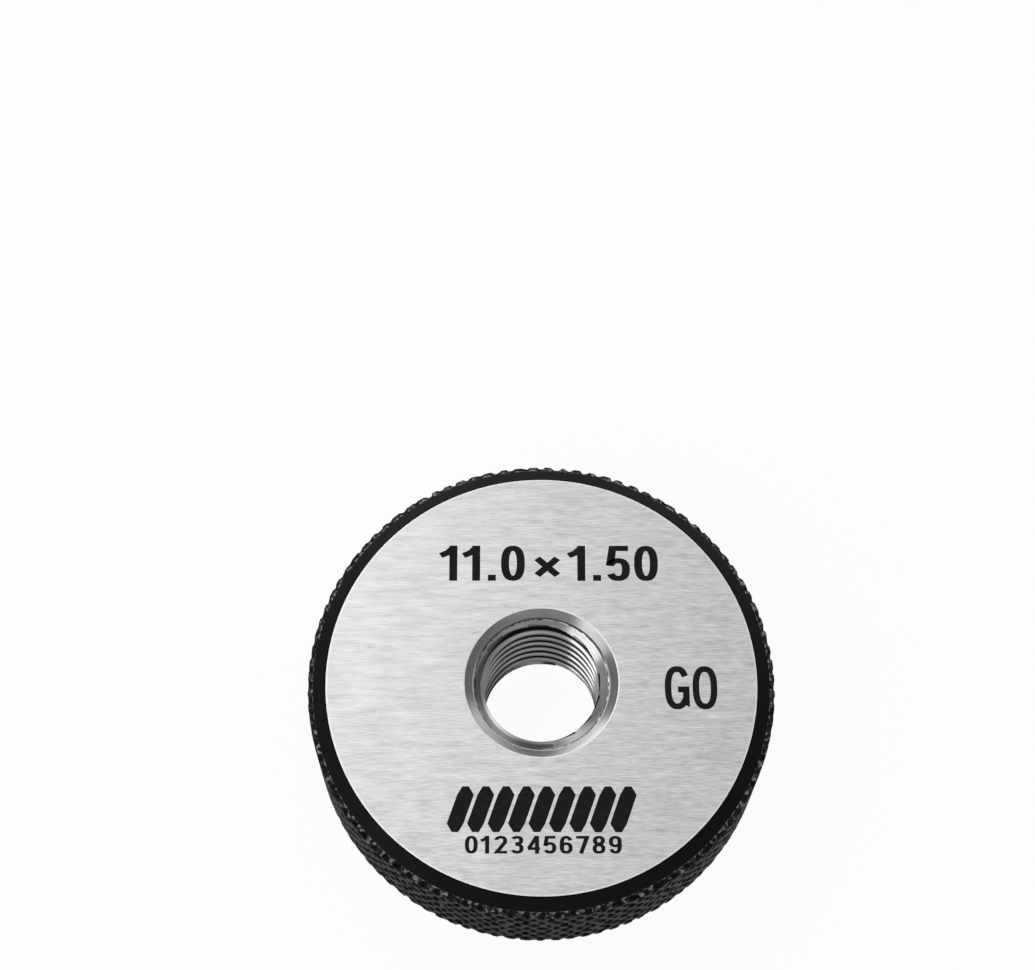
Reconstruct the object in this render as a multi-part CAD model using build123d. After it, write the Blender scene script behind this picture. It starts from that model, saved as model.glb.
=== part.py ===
from build123d import *
import os
from math import ceil, cos, pi, radians, sin, tan

# A GO thread ring gauge: one hardened steel ring, turned, knurled and ground on both faces.
# It lies on one face. The origin is that face's centre, and the ring's axis is +Z.
# Lengths are in mm and angles in degrees.

# Ring
outer_diameter = 38.0  # over the knurl's crests
thickness = 12.0  # from one ground face to the other
rim_chamfer_width = 1.55  # radial, from the edge of a ground face out to the crests
rim_chamfer_depth = 1.1  # along the axis

# Threaded bore, M11 x 1.5. The bore is a plain wall at the thread's minor diameter.
thread_diameter = 11.0
thread_pitch = 1.5
flank_angle = 30.0  # between a thread flank and a plane square to the axis
height_left = 5 / 8  # share of the sharp thread form between the minor and major diameters
countersink_width = 0.75  # radial, outside the thread's major diameter
countersink_depth = 0.6

# Knurl: two crossing sets of ridges that leave diamond-shaped pits
knurl_pitch = 1.25  # around the rim, from one pit to the next
knurl_angle = 30.0  # between a ridge and the ring's axis
knurl_depth = 0.5

# The radii and heights that follow from them
crest_radius = outer_diameter / 2
pit_radius = crest_radius - knurl_depth
face_radius = crest_radius - rim_chamfer_width
major_radius = thread_diameter / 2
sharp_height = thread_pitch / 2 / tan(radians(flank_angle))
thread_height = height_left * sharp_height
minor_radius = major_radius - thread_height
countersink_radius = major_radius + countersink_width
bore_start = countersink_depth + thread_height * tan(radians(flank_angle))


def turned_blank():
    """The ring before knurling: half its section, mirrored about mid-height and turned about Z."""
    half = [
        (minor_radius, bore_start),
        (major_radius, countersink_depth),
        (countersink_radius, 0),
        (face_radius, 0),
        (crest_radius, rim_chamfer_depth),
    ]
    other_half = [(radius, thickness - height) for radius, height in reversed(half)]
    section = make_face(Polyline(*half, *other_half, close=True))
    return revolve(Plane.XZ * section, Axis.Z)


def knurled_bar():
    """A round bar, longer than the ring is thick, with the knurl on its side.

    Its side is a net of flat triangles over evenly spaced rows of points. In each row a crossing
    of two ridges and the bottom of a pit take turns, and the next row starts half a pit later.
    """
    columns = 2 * round(pi * outer_diameter / knurl_pitch)
    column_angle = 2 * pi / columns
    row_height = knurl_pitch / 2 / tan(radians(knurl_angle))
    # above this height on the chamfer the rim is wide enough to be knurled
    knurl_start = rim_chamfer_depth * (1 - knurl_depth / rim_chamfer_width)
    rows = ceil((thickness - 2 * knurl_start) / row_height)
    lowest = (thickness - rows * row_height) / 2
    overrun = rim_chamfer_depth  # plain ends of the bar, past the ring's faces

    def is_crossing(column, row):
        return (column + row) % 2 == 0

    def point(column, row, height=None):
        radius = crest_radius if is_crossing(column, row) else pit_radius
        angle = column * column_angle
        if height is None:
            height = lowest + row * row_height
        return Vector(radius * cos(angle), radius * sin(angle), height)

    def flat(*corners):
        return Face(Wire.make_polygon(corners, close=True))

    faces = []
    for row in range(rows):
        for column in range(columns):
            near, right = point(column, row), point(column + 1, row)
            above, far = point(column, row + 1), point(column + 1, row + 1)
            # the two triangles share the edge that lies along a ridge
            if is_crossing(column, row):
                faces += [flat(near, right, far), flat(near, far, above)]
            else:
                faces += [flat(near, right, above), flat(right, far, above)]

    for row, end in ((0, -overrun), (rows, thickness + overrun)):
        rim = [point(column, row, end) for column in range(columns)]
        faces.append(flat(*rim))
        for column in range(columns):
            following = (column + 1) % columns
            faces.append(
                flat(point(column, row), point(column + 1, row), rim[following], rim[column])
            )
    return Solid(Shell(faces))


ring_gauge = turned_blank() & knurled_bar()
ring_gauge.label = "ring_gauge"

os.makedirs("parts", exist_ok=True)
export_step(ring_gauge, "parts/ring_gauge.step")
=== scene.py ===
from math import ceil, cos, pi, radians, sin, tan

import bmesh
import bpy
from mathutils import Matrix, Quaternion, Vector, noise


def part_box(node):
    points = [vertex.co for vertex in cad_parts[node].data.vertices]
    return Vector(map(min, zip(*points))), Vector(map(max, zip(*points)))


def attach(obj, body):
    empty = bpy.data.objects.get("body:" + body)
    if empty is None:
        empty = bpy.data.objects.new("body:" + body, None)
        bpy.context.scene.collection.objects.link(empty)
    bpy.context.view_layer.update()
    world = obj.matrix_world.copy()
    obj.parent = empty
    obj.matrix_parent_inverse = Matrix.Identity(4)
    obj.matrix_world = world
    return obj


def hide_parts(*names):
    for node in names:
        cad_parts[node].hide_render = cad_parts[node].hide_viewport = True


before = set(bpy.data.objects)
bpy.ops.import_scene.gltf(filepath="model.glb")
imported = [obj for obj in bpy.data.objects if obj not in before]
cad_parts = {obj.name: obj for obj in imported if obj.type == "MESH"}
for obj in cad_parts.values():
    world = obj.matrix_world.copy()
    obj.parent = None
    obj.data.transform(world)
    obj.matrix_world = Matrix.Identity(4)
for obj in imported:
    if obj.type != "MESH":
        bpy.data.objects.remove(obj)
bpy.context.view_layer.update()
mm = 0.001

low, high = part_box("ring_gauge")
rimRadius = (high[0] - low[0]) / 2
height = high[2] - low[2]
print("frame loaded: ring", round(2 * rimRadius / mm, 2), "mm across,",
      round(height / mm, 2), "mm thick")


def addObject(name, data):
    item = bpy.data.objects.new(name, data)
    bpy.context.scene.collection.objects.link(item)
    return item


def newMaterial(name):
    material = bpy.data.materials.new(name)
    material.use_nodes = True
    tree = material.node_tree
    tree.nodes.clear()
    output = tree.nodes.new("ShaderNodeOutputMaterial")
    shader = tree.nodes.new("ShaderNodeBsdfPrincipled")
    tree.links.new(shader.outputs[0], output.inputs["Surface"])
    return material, tree, shader


def addNode(tree, kind, inputs=None, **settings):
    node = tree.nodes.new("ShaderNode" + kind)
    for setting, value in settings.items():
        setattr(node, setting, value)
    for socket, value in (inputs or {}).items():
        if isinstance(value, bpy.types.NodeSocket):
            tree.links.new(value, node.inputs[socket])
        else:
            node.inputs[socket].default_value = value
    return node


def calc(tree, operation, a, b=0.0):
    return addNode(tree, "Math", {0: a, 1: b}, operation=operation).outputs[0]


def ramp(tree, factor, stops):  # stops are (position, grey level or colour)
    node = addNode(tree, "ValToRGB", {0: factor})
    elements = node.color_ramp.elements
    while len(elements) < len(stops):
        elements.new(0.5)
    for element, (position, level) in zip(elements, stops):
        element.position = position
        element.color = (*level, 1) if isinstance(level, tuple) else (level, level, level, 1)
    return node.outputs[0]


def blotches(tree, size, detail=2.0):  # noise whose blotches are size (x, y, z) long
    where = addNode(tree, "TexCoord").outputs["Object"]
    scaled = addNode(tree, "Mapping", {"Vector": where, "Scale": [1 / s for s in size]}).outputs[0]
    return addNode(tree, "TexNoise", {"Vector": scaled, "Scale": 1.0, "Detail": detail}).outputs[0]


def turningLines(tree, spacing):  # noise that runs in circles round the ring's axis
    where = addNode(tree, "TexCoord").outputs["Object"]
    x, y, z = addNode(tree, "SeparateXYZ", {0: where}).outputs
    flat = addNode(tree, "CombineXYZ", {0: x, 1: y}).outputs[0]
    radius = addNode(tree, "VectorMath", {0: flat}, operation="LENGTH").outputs["Value"]
    outward = addNode(tree, "VectorMath", {0: flat}, operation="NORMALIZE").outputs[0]
    along = calc(tree, "DIVIDE", calc(tree, "SUBTRACT", radius, z), spacing)
    step = addNode(tree, "CombineXYZ", {2: along}).outputs[0]
    spot = addNode(tree, "VectorMath", {0: outward, 1: step}, operation="ADD").outputs[0]
    return addNode(tree, "TexNoise", {"Vector": spot, "Scale": 1.0, "Detail": 2.0}).outputs[0]


def addBump(tree, shader, bumpHeight, bump):  # bump is its strength and depth
    node = addNode(tree, "Bump", {"Height": bumpHeight, "Strength": bump[0], "Distance": bump[1]})
    tree.links.new(node.outputs[0], shader.inputs["Normal"])


def setShader(shader, look):
    sockets = {"metal": "Metallic", "roughness": "Roughness", "specular": "Specular IOR Level"}
    for value, socket in sockets.items():
        if value in look:
            shader.inputs[socket].default_value = look[value]


def shaded(colour, share):
    return tuple(share * c for c in colour)


noiseLow, noiseHigh = 0.3, 0.7  # nearly all of a noise's values lie between these
groundLook = {
    "colour": (0.525, 0.522, 0.517),
    "contrast": 0.28,
    "metal": 1.0,
    "roughness": 0.34,
    "uneven": 0.06,  # how much rougher and smoother than that it is in spots
    "scratch": (1.1 * mm, 0.12 * mm, 1 * mm),  # length, width and depth of the grinding marks
    "streak": (4.0 * mm, 0.5 * mm, 1 * mm),  # and of the broader streaks they lie in
    "scratchShare": 0.65,  # the streaks have the rest
    "spread": (0.32, 0.68),  # values of the two together that come out darkest and lightest
    "bump": (0.35, 0.004 * mm),  # strength and depth
}


def groundSteel(look):
    material, tree, shader = newMaterial("groundSteel")
    share = look["scratchShare"]
    fine = blotches(tree, look["scratch"], detail=3.0)
    broad = blotches(tree, look["streak"])
    both = calc(tree, "ADD", calc(tree, "MULTIPLY", fine, share),
                calc(tree, "MULTIPLY", broad, 1 - share))
    dark = shaded(look["colour"], 1 - look["contrast"])
    light = shaded(look["colour"], 1 + look["contrast"])
    colour = ramp(tree, both, tuple(zip(look["spread"], (dark, light))))
    tree.links.new(colour, shader.inputs["Base Color"])
    setShader(shader, look)
    rough = addNode(tree, "MapRange", {"Value": fine, "From Min": noiseLow, "From Max": noiseHigh,
                                       "To Min": look["roughness"] - look["uneven"],
                                       "To Max": look["roughness"] + look["uneven"]})
    tree.links.new(rough.outputs[0], shader.inputs["Roughness"])
    addBump(tree, shader, both, look["bump"])
    return material


edgeLook = {  # the broken edges: bare steel, made pale and half matt as a painted highlight
    "spots": (0.5 * mm, 0.5 * mm, 0.5 * mm),
    "levels": ((0.25, 0.80), (0.6, 0.97)),
    "metal": 0.5,
    "roughness": 0.5,
}
burrLook = {  # where the first thin turn was taken off: torn and spotted black, with bright spots that are painted glints
    "spots": (0.5 * mm, 0.5 * mm, 0.5 * mm),
    "levels": ((0.45, 0.05), (0.60, 0.85)),
    "metal": 1.0,
    "roughness": 0.3,
}


def spottedSteel(name, look, detail):
    material, tree, shader = newMaterial(name)
    spots = blotches(tree, look["spots"], detail)
    tree.links.new(ramp(tree, spots, look["levels"]), shader.inputs["Base Color"])
    setShader(shader, look)
    return material


bandLook = {  # black oxide over turned steel
    "cloud": (1.8 * mm, 1.8 * mm, 1.8 * mm),
    "lineSpacing": 0.09 * mm,
    "cloudShare": 0.5,  # the turning lines have the rest
    "levels": ((0.3, 0.006), (0.7, 0.012)),
    "roughness": 0.42,
    "specular": 0.07,
    "bump": (0.2, 0.006 * mm),
}


def blackBand(look):
    material, tree, shader = newMaterial("blackBand")
    cloud = blotches(tree, look["cloud"], detail=3.0)
    lines = turningLines(tree, look["lineSpacing"])
    share = look["cloudShare"]
    both = calc(tree, "ADD", calc(tree, "MULTIPLY", cloud, share),
                calc(tree, "MULTIPLY", lines, 1 - share))
    tree.links.new(ramp(tree, both, look["levels"]), shader.inputs["Base Color"])
    setShader(shader, look)
    addBump(tree, shader, lines, look["bump"])
    return material


knurlLook = {  # oxide black in the pits, darkened further there as painted shade; rubbed grey on the lands
    "patches": (0.35 * mm, 0.35 * mm, 0.35 * mm),
    "patchLevels": ((0.36, 0.45), (0.62, 1.0)),  # how much of the rubbing the patches leave
    "levels": ((0.0, 0.001), (0.3, 0.003), (0.55, 0.0115), (0.8, 0.06), (1.0, 0.28)),
    "roughness": 0.5,
    "specular": 0.04,
    "grit": (0.12 * mm, 0.12 * mm, 0.12 * mm),
    "bump": (0.5, 0.02 * mm),
}


def blackKnurl(look):
    material, tree, shader = newMaterial("blackKnurl")
    land = addNode(tree, "Attribute", attribute_name="wearAndLight").outputs["Fac"]
    patches = ramp(tree, blotches(tree, look["patches"], detail=5.0), look["patchLevels"])
    # the lands' grey: rubbed, with the painted highlight and shade that the mesh carries
    rubbedAndLit = calc(tree, "MULTIPLY", land, patches)
    tree.links.new(ramp(tree, rubbedAndLit, look["levels"]), shader.inputs["Base Color"])
    setShader(shader, look)
    addBump(tree, shader, blotches(tree, look["grit"]), look["bump"])
    return material


turnedLook = {
    "lineSpacing": 0.11 * mm,
    "lines": (0.78, 1.12),  # the darkest and lightest line, against the steel's own colour
    "shadedBelow": 0.80,  # painted shade in full below the first of these, none above the second
    "unshadedAbove": 0.94,
    "bump": (0.35, 0.008 * mm),
}
turnedSteels = {  # the last number is what is left of the colour where the painted shade is fullest
    "sinkSteel": {"colour": (0.60, 0.60, 0.59), "roughness": 0.26, "metal": 1.0, "shadedShare": 1.0},
    # footSteel: pale and half matt, a painted highlight along the blunted foot
    "footSteel": {"colour": (0.85, 0.85, 0.84), "roughness": 0.42, "metal": 0.3, "shadedShare": 0.15},
    "leadSteel": {"colour": (0.62, 0.62, 0.61), "roughness": 0.20, "metal": 1.0, "shadedShare": 1.0},
    # the up-facing flanks take a bright copy of the thread's steel, the root and the down-facing
    # flanks a darker copy as painted shade
    "threadSteel": {"colour": (0.92, 0.92, 0.91), "roughness": 0.20, "metal": 1.0, "shadedShare": 0.015},
    "grooveShade": {"colour": (0.30, 0.30, 0.295), "roughness": 0.30, "metal": 1.0, "shadedShare": 0.05},
    # the crest flats: near-black steel as painted shade
    "crestShade": {"colour": (0.035, 0.035, 0.035), "roughness": 0.35, "metal": 1.0, "shadedShare": 1.0},
}


def turnedSteel(name):
    steel = turnedSteels[name]
    material, tree, shader = newMaterial(name)
    lines = turningLines(tree, turnedLook["lineSpacing"])
    dark, light = (shaded(steel["colour"], share) for share in turnedLook["lines"])
    bright = ramp(tree, lines, ((noiseLow, dark), (noiseHigh, light)))
    # the mesh's values carry the painted shade of the bore and of the countersink's foot
    unshaded = addNode(tree, "Attribute", attribute_name="wearAndLight").outputs["Fac"]
    paintedShade = ramp(tree, unshaded, ((turnedLook["shadedBelow"], steel["shadedShare"]), (turnedLook["unshadedAbove"], 1.0)))
    mixed = addNode(tree, "MixRGB", {"Fac": 1.0, "Color1": bright, "Color2": paintedShade},
                    blend_type="MULTIPLY")
    tree.links.new(mixed.outputs[0], shader.inputs["Base Color"])
    setShader(shader, steel)
    addBump(tree, shader, lines, turnedLook["bump"])
    return material


etchLook = {
    "mottle": (0.9 * mm, 0.25 * mm, 0.9 * mm),
    "levels": ((0.3, 0.004), (0.75, 0.011)),
    "roughness": 0.6,
    "specular": 0.15,
}


def etchBlack(look):
    material, tree, shader = newMaterial("etchBlack")
    mottle = blotches(tree, look["mottle"], detail=3.0)
    tree.links.new(ramp(tree, mottle, look["levels"]), shader.inputs["Base Color"])
    setShader(shader, look)
    return material


ring = {
    "chamferWidth": 1.55 * mm,
    "chamferDepth": 1.1 * mm,
    "edgeInside": 0.12 * mm,  # the broken edge, inside and outside the sharp corner
    "edgeOutside": 0.02 * mm,
    "edgeShade": 0.09 * mm,  # the blackest line, right beside the bright edge: painted shade
    "turns": 1152,  # points round the rim
    "boreTurns": 144,  # and round the bore
    "sharpFrom": radians(20),
}
knurl = {
    "pits": 96,  # round the rim
    "rows": 9,  # steps from the first row of pits to the last
    "firstRow": 0.93 * mm,  # its depth below a face
    "depth": 0.32 * mm,
    "roundness": 2.4,  # 2 makes the pits round, more makes them diamonds
    "cells": 5,  # circles of points for each half pit up the rim
    "chamferCells": 7,  # and across the part of a chamfer that is knurled
    "wobble": 0.22,  # how far a pit strays, as a share of the step to the next one
    "land": 0.20,  # share of the way from a ridge to the middle of a pit that is left standing
    "landUneven": 0.34,  # how far that share strays
    "landGrain": 1.5,  # and how often in a mm
    "wall": 0.55,  # share of that way over which the pit falls to its full depth
    "uneven": 0.16,  # how far the lands are worn down in places, as a share of the depth
    "unevenGrain": 0.9,
    "rubStart": 0.14,  # how far inside a land's edge its grey begins to fade
    "rubFade": 0.24,  # and how far it takes to be gone
    "sideRubAndShade": 0.56,  # how light the lands are halfway up, against 1 at the rim's corners: less rubbed there, and painted darker as shade
    "edgeRubAndLight": 1.0 * mm,  # how far the lighter corners reach: extra wear there, and none of that painted shade
    "ribbon": 0.12 * mm,  # the light edge between the smooth band and the first pits: rubbed, with a painted highlight
    "ribbonRubAndLight": 1.15,  # how light it is, against 1 for a land
}
thread = {
    "radius": 5.5 * mm,
    "pitch": 1.5 * mm,
    "flank": radians(30),
    "begins": radians(229),  # where the groove runs out into the countersink
    "shelfWidth": 0.06 * mm,  # of the torn shelf left where the first thin turn is taken off
    "shelfDrop": 0.025 * mm,  # how far it slopes down
    "firstTurn": 2.6 * mm,  # down to here the grooves' painted shade is lighter
    "firstUnshaded": 1.22,  # how much lighter it is at the very top
    "openUnshaded": 0.852,  # how light the painted shade in the bottom of the groove is where it opens
    "openDepth": 1.3 * mm,  # down to here, and then less over the fade
    "openFade": 0.5 * mm,
    "openLoss": 0.2,  # how much of it is lost there
    "rows": 16,  # points up one turn
    "merge": 0.004 * mm,  # points nearer than this to the bore's end become the end's own
}
countersink = {
    "radius": 6.25 * mm,
    "depth": 0.6 * mm,
    "edgeOutside": 0.09 * mm,  # the broken edge at the ground face
    "edgeInside": 0.02 * mm,
    "footEdge": 0.04 * mm,  # the blunted one at the cone's foot
    "footGleam": 0.11 * mm,  # how far up the cone the foot's painted highlight reaches
    "footShade": 0.2,  # how much painted shade darkens the foot towards +Y
    "footShadeRise": 1.6,  # how soon that shade is at its fullest
}

faceRadius = rimRadius - ring["chamferWidth"]
# 5/8 of the sharp form is left, with flats of pitch / 4 on the crests and pitch / 8 in the groove
minorRadius = thread["radius"] - 5 / 8 * thread["pitch"] / 2 / tan(thread["flank"])
rimSlope = ring["chamferDepth"] / ring["chamferWidth"]
sinkSlope = countersink["depth"] / (countersink["radius"] - thread["radius"])
pitLength = 2 * (height - 2 * knurl["firstRow"]) / knurl["rows"]
shelfTop = countersink["depth"] + countersink["footEdge"]
shelfFoot = shelfTop + thread["shelfDrop"]

points, wearAndLight, facets, looks = [], [], [], []  # per point: how rubbed the knurl is, with painted highlight and shade, and what is left under the painted shade in the bore and at the countersink's foot


def chamferRadius(z):
    return faceRadius + min(z, height - z) / rimSlope


def smooth(t):
    t = min(1.0, max(0.0, t))
    return t * t * (3 - 2 * t)


def knurlPoint(angle, z):  # the rim's radius there, and how light its lands are: rubbed, and painted darker as shade on the side wall
    # each noise is taken from a place of its own, so that they don't move together
    spot = Vector((rimRadius * cos(angle), rimRadius * sin(angle), z)) / mm
    strayAlong = knurl["wobble"] * noise.noise(spot)
    strayUp = knurl["wobble"] * noise.noise(spot + Vector((7, 3, 5)))
    along = angle / (2 * pi) * knurl["pits"] + strayAlong
    up = (z - knurl["firstRow"]) / pitLength + strayUp
    first = abs((along + up) % 1 - 0.5) * 2
    second = abs((along - up) % 1 - 0.5) * 2
    power = knurl["roundness"]
    depth = 1 - (first ** power + second ** power) ** (1 / power)  # 0 on a ridge, 1 in a pit
    landStray = noise.noise(spot * knurl["landGrain"] + Vector((1, 9, 2)))
    land = knurl["land"] + knurl["landUneven"] * landStray
    inPit = smooth((depth - land) / knurl["wall"])
    worn = noise.noise(spot * knurl["unevenGrain"] + Vector((4, 4, 8)))
    dip = knurl["uneven"] * max(0.0, worn)
    rubbedAndLit = (1 - smooth((depth - land + knurl["rubStart"]) / knurl["rubFade"])) * (1 - dip)
    # the lands halfway up the side wall are painted darker as shade; the corners keep their rubbed
    # grey
    reach = ring["chamferDepth"] + knurl["edgeRubAndLight"]
    corner = smooth((reach - min(z, height - z)) / knurl["edgeRubAndLight"])
    rubbedAndLit *= knurl["sideRubAndShade"] + (1 - knurl["sideRubAndShade"]) * corner
    return rimRadius - knurl["depth"] * (inPit + dip * (1 - inPit)), rubbedAndLit


def threadRadius(angle, z):  # the bore's radius there, and whether the first turn is cut away
    pitch = thread["pitch"]
    turned = (angle - thread["begins"]) / (2 * pi)
    offset = abs((z / pitch - turned) % 1 - 0.5) * pitch  # from a groove's middle
    groove = thread["radius"] - max(0.0, offset - pitch / 16) / tan(thread["flank"])
    below = min(z, height - z) - shelfFoot
    lead = thread["radius"] - thread["shelfWidth"] - below / tan(thread["flank"])
    return max(minorRadius, groove, lead), lead > max(minorRadius, groove)


def addPoint(radius, angle, z, rubAndLight=1.0):
    points.append((radius * cos(angle), radius * sin(angle), z))
    wearAndLight.append(rubAndLight)
    return len(points) - 1


def addCircle(radius, z, turns, rubAndLight=1.0):
    return [addPoint(radius, 2 * pi * i / turns, z, rubAndLight) for i in range(turns)]


def addShadedCircle(radius, z, turns):  # painted shade: darker towards +Y
    circle = addCircle(radius, z, turns)
    for point in circle:
        share = countersink["footShadeRise"] * points[point][1] / radius
        wearAndLight[point] -= countersink["footShade"] * smooth(share)
    return circle


def addFacet(corners, look):
    kept = [c for i, c in enumerate(corners) if c not in corners[:i]]
    if len(kept) > 2:
        facets.append(kept)
        looks.append(look)


def join(a, b, look):
    for i in range(len(a)):
        j = (i + 1) % len(a)
        addFacet((a[i], a[j], b[j], b[i]), look)


def joinUneven(many, few, look):  # circles of different counts
    share = len(many) // len(few)
    for i, corner in enumerate(few):
        first = i * share - share // 2
        for k in range(share):
            here, following = many[(first + k) % len(many)], many[(first + k + 1) % len(many)]
            addFacet((corner, here, following), look)
        addFacet((corner, many[(first + share) % len(many)], few[(i + 1) % len(few)]), look)


def joinRidges(a, b, look):  # each square is split along its higher diagonal
    for i in range(len(a)):
        j = (i + 1) % len(a)
        if wearAndLight[a[i]] + wearAndLight[b[j]] > wearAndLight[a[j]] + wearAndLight[b[i]]:
            addFacet((a[i], a[j], b[j]), look)
            addFacet((a[i], b[j], b[i]), look)
        else:
            addFacet((a[i], a[j], b[i]), look)
            addFacet((a[j], b[j], b[i]), look)


def endFace(place):  # place turns a depth below this face into a height
    turns, boreTurns = ring["turns"], ring["boreTurns"]
    sinkDepth, inside = countersink["depth"], countersink["edgeInside"]
    foot, rubbedAndLit = countersink["footEdge"], countersink["footGleam"]
    faceEdge = addCircle(faceRadius - ring["edgeInside"], place(0), turns)
    outside = ring["edgeOutside"]
    bevel = addCircle(faceRadius + outside, place(outside * rimSlope), turns, 0.0)
    sinkFace = addCircle(countersink["radius"] + countersink["edgeOutside"], place(0), boreTurns)
    sinkTop = addCircle(countersink["radius"] - inside, place(inside * sinkSlope), boreTurns)
    radius = thread["radius"]
    footTop = addShadedCircle(radius + rubbedAndLit, place(sinkDepth - rubbedAndLit * sinkSlope), boreTurns)
    sinkFoot = addShadedCircle(radius + foot, place(sinkDepth - foot * sinkSlope), boreTurns)
    shelf = addShadedCircle(radius, place(shelfTop), boreTurns)
    threadTop = []
    for i in range(boreTurns):
        angle = 2 * pi * i / boreTurns
        threadTop.append(addPoint(threadRadius(angle, place(shelfFoot))[0], angle, place(shelfFoot)))
    joinUneven(faceEdge, sinkFace, finishNumber["groundSteel"])
    shade = outside + ring["edgeShade"]
    # the black line beside the bright edge is painted shade
    bandStart = addCircle(faceRadius + shade, place(shade * rimSlope), turns, 0.0)
    join(faceEdge, bevel, finishNumber["bareEdgeHighlight"])
    join(bevel, bandStart, finishNumber["blackKnurl"])
    join(sinkFace, sinkTop, finishNumber["bareEdgeHighlight"])
    join(sinkTop, footTop, finishNumber["sinkSteel"])
    join(footTop, sinkFoot, finishNumber["footSteel"])
    join(sinkFoot, shelf, finishNumber["footSteel"])
    join(shelf, threadTop, finishNumber["burrWithGlints"])
    return bandStart, threadTop


def knurlLevels():  # heights of the circles of points, the same up and down from the middle
    start = ring["chamferDepth"] - knurl["depth"] * rimSlope
    steps = knurl["chamferCells"]
    lower = [start + (ring["chamferDepth"] - start) * i / steps for i in range(steps + 1)]
    step = pitLength / 2 / knurl["cells"]
    count = ceil((height / 2 - ring["chamferDepth"]) / step)
    middle = [height / 2 - step * i for i in range(count, -1, -1)]
    lower += [z for z in middle if z > lower[-1] + step / 4]
    return lower + [height - z for z in reversed(lower[:-1])]


def rim(lowBevel, topBevel):
    turns = ring["turns"]
    ribbonDepth = ring["chamferDepth"] - (knurl["depth"] + knurl["ribbon"]) * rimSlope
    lowRibbon = addCircle(chamferRadius(ribbonDepth), ribbonDepth, turns, knurl["ribbonRubAndLight"])
    topRibbon = addCircle(chamferRadius(ribbonDepth), height - ribbonDepth, turns, knurl["ribbonRubAndLight"])
    join(lowBevel, lowRibbon, finishNumber["blackBand"])
    previous = lowRibbon
    levels = knurlLevels()
    for z in levels:
        circle = []
        for i in range(turns):
            angle = 2 * pi * i / turns
            radius, rubAndLight = knurlPoint(angle, z)
            cut = chamferRadius(z)
            if cut < radius:  # the chamfer is below the knurl here, so it is plain
                # the plain chamfered bits are lightened towards the knurl's edge as a painted edge
                # highlight
                rubAndLight = max(rubAndLight, smooth((radius - cut) / knurl["ribbon"]))
            circle.append(addPoint(min(radius, cut), angle, z, rubAndLight))
        joinRidges(previous, circle, finishNumber["blackKnurl"])
        previous = circle
    join(previous, topRibbon, finishNumber["blackKnurl"])
    join(topRibbon, topBevel, finishNumber["blackBand"])


def threadLook(row):  # flank facing up in the bright copy; groove and flank facing down in a darker copy, and the flat of the crest near black, both as painted shade
    place = row % thread["rows"] / thread["rows"]  # in turns, up from a crest's middle
    if 1 / 8 <= place < 7 / 16:
        return finishNumber["threadSteel"]
    return finishNumber["grooveShade"] if 7 / 16 <= place < 7 / 8 else finishNumber["crestShade"]


def grooveUnshaded(radius, depth):  # painted shade in the bottom of the groove, less where it opens
    unshaded = (thread["radius"] - radius) / (thread["radius"] - minorRadius)
    further = smooth(2 * depth / thread["firstTurn"] - 1)
    unshaded *= thread["firstUnshaded"] - (thread["firstUnshaded"] - 1) * further
    faded = smooth((depth - thread["openDepth"]) / thread["openFade"])
    return max(unshaded, thread["openUnshaded"] * (1 - thread["openLoss"] * faded))


def bore(lowEnd, topEnd):  # columns up the bore, whose rows climb with the helix
    pitch, perTurn, boreTurns = thread["pitch"], thread["rows"], ring["boreTurns"]
    first, last = shelfFoot, height - shelfFoot
    rowCount = (ceil(height / pitch) + 2) * perTurn
    columns = []
    leadPoints = set(lowEnd + topEnd)
    for i in range(boreTurns):
        angle = 2 * pi * i / boreTurns
        column = []
        for k in range(rowCount):
            z = pitch * (k / perTurn - 1 + (angle - thread["begins"]) / (2 * pi))
            if z < first + thread["merge"]:
                column.append(lowEnd[i])
            elif z > last - thread["merge"]:
                column.append(topEnd[i])
            else:
                radius, onLead = threadRadius(angle, z)
                unshaded = 1.0 if onLead else grooveUnshaded(radius, min(z, height - z))
                column.append(addPoint(radius, angle, z, unshaded))
                if onLead:
                    leadPoints.add(column[-1])
        columns.append(column)
    for i in range(boreTurns):
        here = columns[i]
        wraps = i + 1 == boreTurns  # once round, the helix is one turn higher
        there = columns[0][perTurn:] + [topEnd[0]] * perTurn if wraps else columns[i + 1]
        for k in range(rowCount - 1):
            corners = (here[k], there[k], there[k + 1], here[k + 1])
            onLead = leadPoints.issuperset(corners)
            addFacet(corners, finishNumber["leadSteel"] if onLead else threadLook(k))


def sharpen(body):  # sharp between two finishes and on the thread's corners, smooth elsewhere
    for edge in body.edges:
        a, b = edge.link_faces
        steep = edge.calc_face_angle(0) > ring["sharpFrom"]
        corner = steep and a.material_index != finishNumber["blackKnurl"]
        edge.smooth = a.material_index == b.material_index and not corner
    for face in body.faces:
        face.smooth = True


finishes = [groundSteel(groundLook), spottedSteel("bareEdgeHighlight", edgeLook, detail=2.0),
            blackBand(bandLook), blackKnurl(knurlLook),
            turnedSteel("sinkSteel"), turnedSteel("footSteel"),
            spottedSteel("burrWithGlints", burrLook, detail=3.0),
            turnedSteel("leadSteel"), turnedSteel("threadSteel"), turnedSteel("grooveShade"),
            turnedSteel("crestShade")]
finishNumber = {material.name: i for i, material in enumerate(finishes)}
print("finishes ready:", ", ".join(finishNumber))

lowBevel, lowThread = endFace(lambda depth: depth)
topBevel, topThread = endFace(lambda depth: height - depth)
rim(lowBevel, topBevel)
bore(lowThread, topThread)

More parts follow.
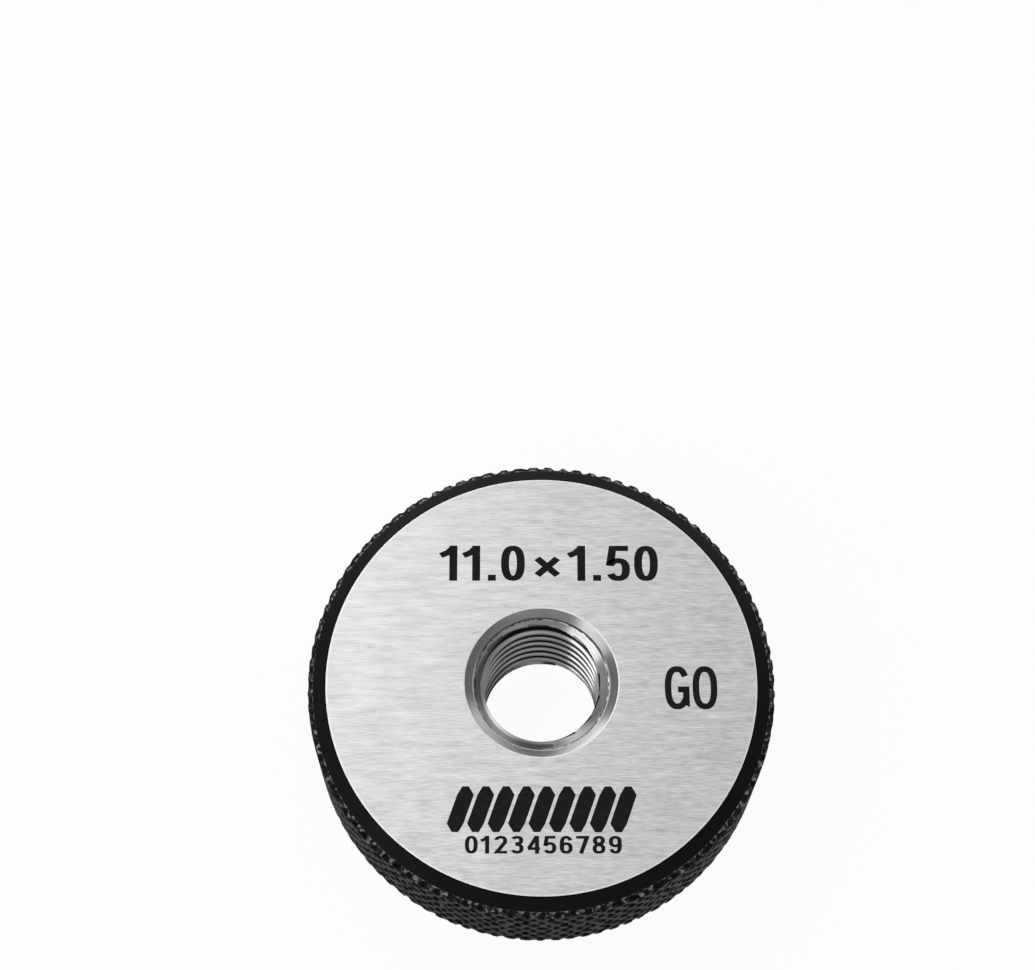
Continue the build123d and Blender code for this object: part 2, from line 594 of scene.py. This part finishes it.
mesh = bpy.data.meshes.new("gaugeRing")
mesh.from_pydata(points, [], facets)
for material in finishes:
    mesh.materials.append(material)
mesh.polygons.foreach_set("material_index", looks)
mesh.attributes.new("wearAndLight", "FLOAT", "POINT").data.foreach_set("value", wearAndLight)
body = bmesh.new()
body.from_mesh(mesh)
bmesh.ops.recalc_face_normals(body, faces=body.faces)
openEdges = sum(1 for edge in body.edges if not edge.is_manifold)
triangles = sum(len(face.verts) - 2 for face in body.faces)
volume = round(body.calc_volume() / mm ** 3)
print("ring:", triangles, "triangles,", openEdges, "open edges,", volume, "mm3")
sharpen(body)
body.to_mesh(mesh)
body.free()
gaugeRing = addObject("gaugeRing", mesh)
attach(gaugeRing, "root")
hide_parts("ring_gauge")

marking = {
    "proud": 0.008 * mm,  # above the face
    "sunk": 0.006 * mm,  # below it
    "arcStep": radians(9),  # from one point to the next along a bowl
    "squareness": 2.5,  # 2 draws round bowls, more draws squarer ones
}
# stem, bar, gap and widths are for signs 1 high, before the row is squeezed to its width
marks = [
    {"name": "sizeMark", "words": "11.0 x 1.50", "place": (0.72 * mm, 10.13 * mm),
     "tall": 3.05 * mm, "wide": 17.8 * mm, "stem": 0.094, "bar": 0.074, "gap": 0.10,
     "widths": {"other": 0.56, ".": 0.22, " ": 0.05, "x": 0.56, "1": 0.44}},
    {"name": "goMark", "words": "GO", "place": (12.1 * mm, -0.48 * mm),
     "tall": 3.62 * mm, "wide": 4.25 * mm, "stem": 0.085, "bar": 0.068, "gap": 0.08,
     "widths": {"other": 0.64}},
    {"name": "numberMark", "words": "0123456789", "place": (0.1 * mm, -13.36 * mm),
     "tall": 1.42 * mm, "wide": 12.4 * mm, "stem": 0.1, "bar": 0.078, "gap": 0.17,
     "widths": {"other": 0.62, "1": 0.46}},
]
threadSign = {
    "name": "threadSign",
    "place": (0.0, -10.5 * mm),
    "tall": 3.7 * mm,
    "wide": 15.4 * mm,
    "turns": 9,
    "gap": 0.09,  # half the gap between two bars, as a share of a turn
    "crest": 0.16,  # half a bar's blunt end, likewise
    "fullness": 0.72,  # how far the shoulders slope, against a true thread
}
etch = etchBlack(etchLook)


def arc(cx, cy, rx, ry, start, end):  # points on a squarish oval
    steps = max(2, ceil(abs(radians(end - start)) / marking["arcStep"]))
    power = 2 / marking["squareness"]
    found = []
    for i in range(steps + 1):
        a = radians(start + (end - start) * i / steps)
        c, s = cos(a), sin(a)
        found.append((cx + rx * abs(c) ** power * (1 if c > 0 else -1),
                      cy + ry * abs(s) ** power * (1 if s > 0 else -1)))
    return found


def signLines(sign, stem, bar, wide):
    # centre lines of one sign 1 high, as (closed, points); stem and bar are half the stroke's widths
    left, right, top, foot, middle = stem, wide - stem, 1 - bar, bar, wide / 2
    half = (right - left) / 2
    if sign in "0O":
        return [(True, arc(middle, 0.5, half, 0.5 - bar, 0, 360)[:-1])]
    if sign == "1":
        x = wide * 0.62
        return [(False, [(x, 0), (x, 1)]), (False, [(x, 0.94), (x - 0.13, 0.80), (x - 0.3, 0.715)])]
    if sign == "2":
        bow = arc(middle, 0.72, half, 0.28 - bar, 170, -25)
        return [(False, bow + [(left + 0.02, foot), (right + stem, foot)])]
    if sign == "3":
        upper = arc(middle, 0.745, half * 0.92, 0.255 - bar, 160, -90)
        lower = arc(middle, 0.29, half, 0.29 - bar, 90, -160)
        return [(False, upper + [(middle - 0.06, 0.49 + bar * 0.3)]),
                (False, [(middle - 0.06, 0.53)] + lower)]
    if sign == "4":
        x = right - 0.04
        return [(False, [(x, 0), (x, 1)]), (False, [(x - 0.02, 0.96), (left - 0.02, 0.28)]),
                (False, [(left - 0.06, 0.28), (right + stem, 0.28)])]
    if sign == "5":
        bowl = arc(middle, 0.325, half, 0.325 - bar, 142, -155)
        return [(False, [(right + stem * 0.6, top), (left + 0.06, top), (left + 0.005, 0.50)] + bowl)]
    if sign in "69":
        lines = [(True, arc(middle, 0.32, half, 0.32 - bar, 0, 360)[:-1]),
                 (False, [(left, 0.34)] + arc(middle, 0.56, half, 0.44 - bar, 180, 25))]
        if sign == "9":
            lines = [(closed, [(wide - x, 1 - y) for x, y in line]) for closed, line in lines]
        return lines
    if sign == "7":
        return [(False, [(0, top), (right, top), (middle - 0.08, 0.0)])]
    if sign == "8":
        return [(True, arc(middle, 0.74, half * 0.9, 0.26 - bar, 0, 360)[:-1]),
                (True, arc(middle, 0.28, half, 0.28 - bar, 0, 360)[:-1])]
    if sign == "G":
        bow = arc(middle, 0.5, half, 0.5 - bar, 32, 318)
        return [(False, bow + [(right, 0.16), (right, 0.46), (middle + 0.02, 0.46)])]
    if sign == "x":
        return [(False, [(0.04, 0.16), (wide - 0.04, 0.64)]),
                (False, [(0.04, 0.64), (wide - 0.04, 0.16)])]
    if sign == ".":
        return [(False, [(stem * 1.1, 0), (stem * 1.1, 0.17)])]
    return []


def strip(line, closed, stem, bar):  # a flat closed strip along a centre line
    count = len(line)
    rings = []
    made = bmesh.new()
    for i, spot in enumerate(line):
        here = Vector(spot)
        before = Vector(line[i - 1]) if closed or i else here
        after = Vector(line[(i + 1) % count]) if closed or i + 1 < count else here
        inward, outward = (here - before).normalized(), (after - here).normalized()
        along = (inward + outward).normalized()
        across = Vector((-along.y, along.x))
        square = across.dot(Vector((-inward.y, inward.x))) if inward.length and outward.length else 1
        push = Vector((across.x * stem, across.y * bar)) / max(0.5, square)  # no long spikes
        a, b = here + push, here - push
        rings.append([made.verts.new((p.x, p.y, z)) for p, z in ((a, 1), (b, 1), (b, 0), (a, 0))])
    for i in range(count if closed else count - 1):
        one, two = rings[i], rings[(i + 1) % count]
        for k in range(4):
            made.faces.new((one[k], one[(k + 1) % 4], two[(k + 1) % 4], two[k]))
    if not closed:
        made.faces.new(rings[0])
        made.faces.new(reversed(rings[-1]))
    bmesh.ops.recalc_face_normals(made, faces=made.faces)
    flat = bpy.data.meshes.new("strip")
    made.to_mesh(flat)
    made.free()
    return flat


def union(strips):  # one closed mesh from strips that cross
    objects = [addObject("strip", flat) for flat in strips]
    for other in objects[1:]:
        modifier = objects[0].modifiers.new("join", "BOOLEAN")
        modifier.operation = "UNION"
        modifier.solver = "EXACT"
        modifier.object = other
    bpy.context.view_layer.update()
    graph = bpy.context.evaluated_depsgraph_get()
    joined = bpy.data.meshes.new_from_object(objects[0].evaluated_get(graph))
    for item in objects:
        bpy.data.objects.remove(item)
    return joined


def placeMark(name, flat):
    flat.materials.append(etch)
    piece = addObject(name, flat)
    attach(piece, "root")
    print(name, "placed,", len(flat.polygons), "faces")


def makeWords(mark):  # signs in a row, squeezed to the width they have to fill
    whole = bmesh.new()
    pen = 0.0
    for sign in mark["words"]:
        signWidth = mark["widths"].get(sign, mark["widths"]["other"])
        lines = signLines(sign, mark["stem"], mark["bar"], signWidth)
        if lines:
            shape = union([strip(line, closed, mark["stem"], mark["bar"]) for closed, line in lines])
            shape.transform(Matrix.Translation((pen, 0, 0)))
            whole.from_mesh(shape)
        pen += signWidth + mark["gap"]
    pen -= mark["gap"]
    thick = marking["proud"] + marking["sunk"]
    middleX, middleY = mark["place"]
    for v in whole.verts:
        x, y, z = v.co
        v.co = (middleX + (x / pen - 0.5) * mark["wide"], middleY + (y - 0.5) * mark["tall"],
                height - marking["sunk"] + z * thick)
    flat = bpy.data.meshes.new(mark["name"])
    whole.to_mesh(flat)
    whole.free()
    placeMark(mark["name"], flat)


def makeThreadSign(sign):  # the side view of a screw thread, one slanted bar for each turn
    tall, turn = sign["tall"], sign["wide"] / (sign["turns"] + 0.5)
    gap, crest = sign["gap"] * turn, sign["crest"] * turn
    shoulder = tall / 2 - (turn / 2 - crest) / tan(thread["flank"]) * sign["fullness"]
    made = bmesh.new()
    for k in range(sign["turns"]):
        x = sign["place"][0] - sign["wide"] / 2 + turn * (k + 0.5)
        left, right = x - turn / 2 + gap, x + turn / 2 - gap
        lean = turn / 2
        outline = [(x - crest, -tall / 2), (x + crest, -tall / 2), (right, -shoulder),
                   (right + lean, shoulder), (x + lean + crest, tall / 2),
                   (x + lean - crest, tall / 2), (left + lean, shoulder), (left, -shoulder)]
        upper, lower = [], []
        for px, py in outline:
            upper.append(made.verts.new((px, sign["place"][1] + py, height + marking["proud"])))
            lower.append(made.verts.new((px, sign["place"][1] + py, height - marking["sunk"])))
        made.faces.new(upper)
        made.faces.new(reversed(lower))
        for i in range(len(outline)):
            j = (i + 1) % len(outline)
            made.faces.new((lower[i], lower[j], upper[j], upper[i]))
    flat = bpy.data.meshes.new(sign["name"])
    made.to_mesh(flat)
    made.free()
    placeMark(sign["name"], flat)


for mark in marks:
    makeWords(mark)
makeThreadSign(threadSign)

studio = {
    "floorHalf": 1.2,  # half the floor's width, in metres
    "floorColour": 0.93,
    "floorWhite": 0.95,  # share of the floor's look that is plain white, the rest takes the shadow
    "dim": 0.19,  # the room's own level between the windows
    "windows": [  # bright parts of the room: where they are, how wide, how bright
        {"towards": (-0.24, 0.26, 0.94), "spread": radians(46), "level": 0.93},
        {"towards": (-0.46, 0.888, 0.0), "spread": radians(25), "level": 1.65},
        {"towards": (0.58, 0.81, 0.08), "spread": radians(28), "level": 0.8},
        {"towards": (0.10, -0.75, 0.66), "spread": radians(40), "level": 0.12},
        {"towards": (0.70, -0.62, 0.36), "spread": radians(45), "level": 0.06},
    ],
    "lamps": [
        {"name": "softbox", "place": (-0.18, 0.16, 0.42), "size": (0.30, 0.30), "power": 0.34},
        {"name": "side", "place": (-0.34, -0.19, 0.32), "size": (0.32, 0.32), "power": 0.42},
    ],
}
cameraSet = {
    "place": (-2.888 * mm, -55.367 * mm, 204.162 * mm),
    "aim": (-1.94 * mm, 17.015 * mm, 12.0 * mm),
    "roll": radians(0.8),
    "lens": 85.67,  # for a sensor this wide, both in mm
    "sensor": 36,
    "near": 10 * mm,  # nothing closer than this is drawn
}


def makeFloor():
    half = studio["floorHalf"]
    flat = bpy.data.meshes.new("floor")
    corners = [(-half, -half, 0), (half, -half, 0), (half, half, 0), (-half, half, 0)]
    flat.from_pydata(corners, [], [(0, 1, 2, 3)])
    floor = addObject("floor", flat)
    material = bpy.data.materials.new("paleFloor")
    material.use_nodes = True
    tree = material.node_tree
    tree.nodes.clear()
    output = tree.nodes.new("ShaderNodeOutputMaterial")
    tone = studio["floorColour"]
    matt = addNode(tree, "BsdfDiffuse", {"Color": (tone, tone, tone, 1)})
    white = addNode(tree, "Emission", {"Color": (1, 1, 1, 1), "Strength": 1.0})
    rays = addNode(tree, "LightPath").outputs
    seen = calc(tree, "MAXIMUM", rays["Is Camera Ray"], rays["Is Glossy Ray"])
    seen = calc(tree, "MAXIMUM", seen, rays["Is Transmission Ray"])
    share = calc(tree, "MULTIPLY", seen, studio["floorWhite"])
    mix = addNode(tree, "MixShader", {0: share, 1: matt.outputs[0], 2: white.outputs[0]})
    tree.links.new(mix.outputs[0], output.inputs["Surface"])
    flat.materials.append(material)


def makeRoom():
    world = bpy.data.worlds.new("room")
    world.use_nodes = True
    tree = world.node_tree
    tree.nodes.clear()
    output = tree.nodes.new("ShaderNodeOutputWorld")
    towards = addNode(tree, "TexCoord").outputs["Generated"]
    level = studio["dim"]
    for window in studio["windows"]:
        middle = Vector(window["towards"]).normalized()
        facing = addNode(tree, "VectorMath", {0: towards, 1: middle}, operation="DOT_PRODUCT")
        share = addNode(tree, "MapRange", {"Value": facing.outputs["Value"],
                                           "From Min": cos(window["spread"]), "From Max": 1.0,
                                           "To Max": window["level"]}, interpolation_type="SMOOTHSTEP")
        level = calc(tree, "ADD", share.outputs[0], level)
    room = addNode(tree, "Background", {"Color": (1, 1, 1, 1), "Strength": level})
    tree.links.new(room.outputs[0], output.inputs["Surface"])
    bpy.context.scene.world = world


def makeLamp(lamp):
    light = bpy.data.lights.new(lamp["name"], "AREA")
    light.shape = "RECTANGLE"
    light.size, light.size_y = lamp["size"]
    light.energy = lamp["power"]
    item = addObject(lamp["name"], light)
    item.location = lamp["place"]
    item.rotation_euler = (-Vector(lamp["place"])).to_track_quat("-Z", "Y").to_euler()


def makeCamera():
    data = bpy.data.cameras.new("camera")
    data.lens = cameraSet["lens"]
    data.sensor_width = cameraSet["sensor"]
    data.sensor_fit = "HORIZONTAL"
    data.clip_start = cameraSet["near"]
    camera = addObject("camera", data)
    place, aim = Vector(cameraSet["place"]), Vector(cameraSet["aim"])
    camera.rotation_mode = "QUATERNION"
    roll = Quaternion((0, 0, 1), cameraSet["roll"])
    camera.rotation_quaternion = (aim - place).to_track_quat("-Z", "Y") @ roll
    camera.location = place
    bpy.context.scene.camera = camera


makeFloor()
makeRoom()
for lamp in studio["lamps"]:
    makeLamp(lamp)
makeCamera()
bpy.context.scene.view_settings.view_transform = "Standard"
print("floor, room,", len(studio["lamps"]), "lamps and camera set")
